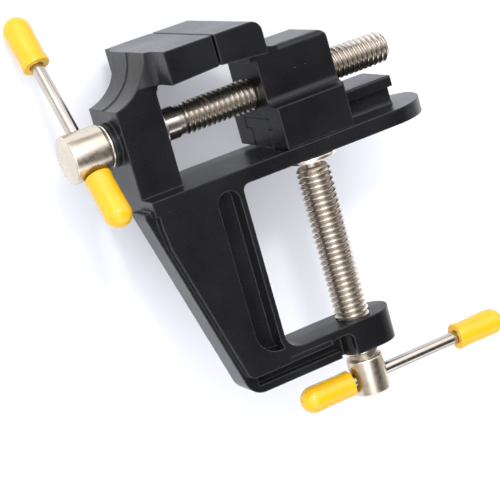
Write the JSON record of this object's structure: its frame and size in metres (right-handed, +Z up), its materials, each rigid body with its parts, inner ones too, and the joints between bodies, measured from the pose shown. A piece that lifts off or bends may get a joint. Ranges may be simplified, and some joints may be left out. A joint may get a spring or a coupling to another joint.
{
  "type": "mini table vise",
  "caption": "Small clamp-on bench vise: cast C frame with fixed jaw, sliding jaw on a T rail, screw with T handle, and a clamp screw with a swivel pad.",
  "frame": {"origin": "on the clamp screw axis, at the underside of the base plate that seats on the table top", "axes": "+X from the fixed jaw towards the movable jaw along the main screw, +Z up along the clamp screw away from the table, +Y towards the rear half of the base plate"},
  "size_m": [0.0868, 0.0376, 0.1005],
  "materials": {
    "casting": "satin",
    "screw_steel": "satin",
    "plated_steel": "satin",
    "bar_steel": "polished",
    "yellow_vinyl": "gloss"
  },
  "bodies": {
    "frame": {"frame": "casting"},
    "jaw": {"movable_jaw": "casting"},
    "screw": {"main_screw": "screw_steel", "main_hub": "plated_steel", "thrust_washer": "plated_steel", "retaining_ring": "plated_steel"},
    "handle": {"main_bar": "bar_steel", "main_cap_upper": "yellow_vinyl", "main_cap_lower": "yellow_vinyl"},
    "pad": {"pressure_pad": "plated_steel"},
    "clamp_spindle": {"clamp_screw": "screw_steel", "clamp_hub": "plated_steel"},
    "clamp_handle": {"clamp_bar": "bar_steel", "clamp_cap_right": "yellow_vinyl", "clamp_cap_left": "yellow_vinyl"}
  },
  "joints": [
    {"name": "main_screw_turn", "type": "hinge", "parent": "frame", "child": "screw", "pos_m": [-0.03, 0.0064, 0.0154], "axis": [-1, 0, 0], "range_deg": [-143.9, 6840]},
    {"name": "jaw_slide", "type": "slide", "parent": "frame", "child": "jaw", "axis": [1, 0, 0], "range_m": [-0.00055, 0.0255]},
    {"name": "main_bar_slide", "type": "slide", "parent": "screw", "child": "handle", "axis": [0, -0.5736, -0.8192], "range_m": [0, 0.0172]},
    {"name": "pad_slide", "type": "slide", "parent": "frame", "child": "pad", "axis": [0, 0, -1], "range_m": [0, 0.0355]},
    {"name": "clamp_screw_turn", "type": "hinge", "parent": "pad", "child": "clamp_spindle", "pos_m": [0, 0, -0.04], "axis": [0, 0, -1], "range_deg": [0, 9720]},
    {"name": "clamp_bar_slide", "type": "slide", "parent": "clamp_spindle", "child": "clamp_handle", "axis": [-1, 0, 0], "range_m": [-0.0006, 0.0188]}
  ],
  "couplings": [
    {"joint": "jaw_slide", "follows": "main_screw_turn", "m_per_rad": 0.00019894},
    {"joint": "pad_slide", "follows": "clamp_screw_turn", "m_per_rad": 0.00019894}
  ]
}
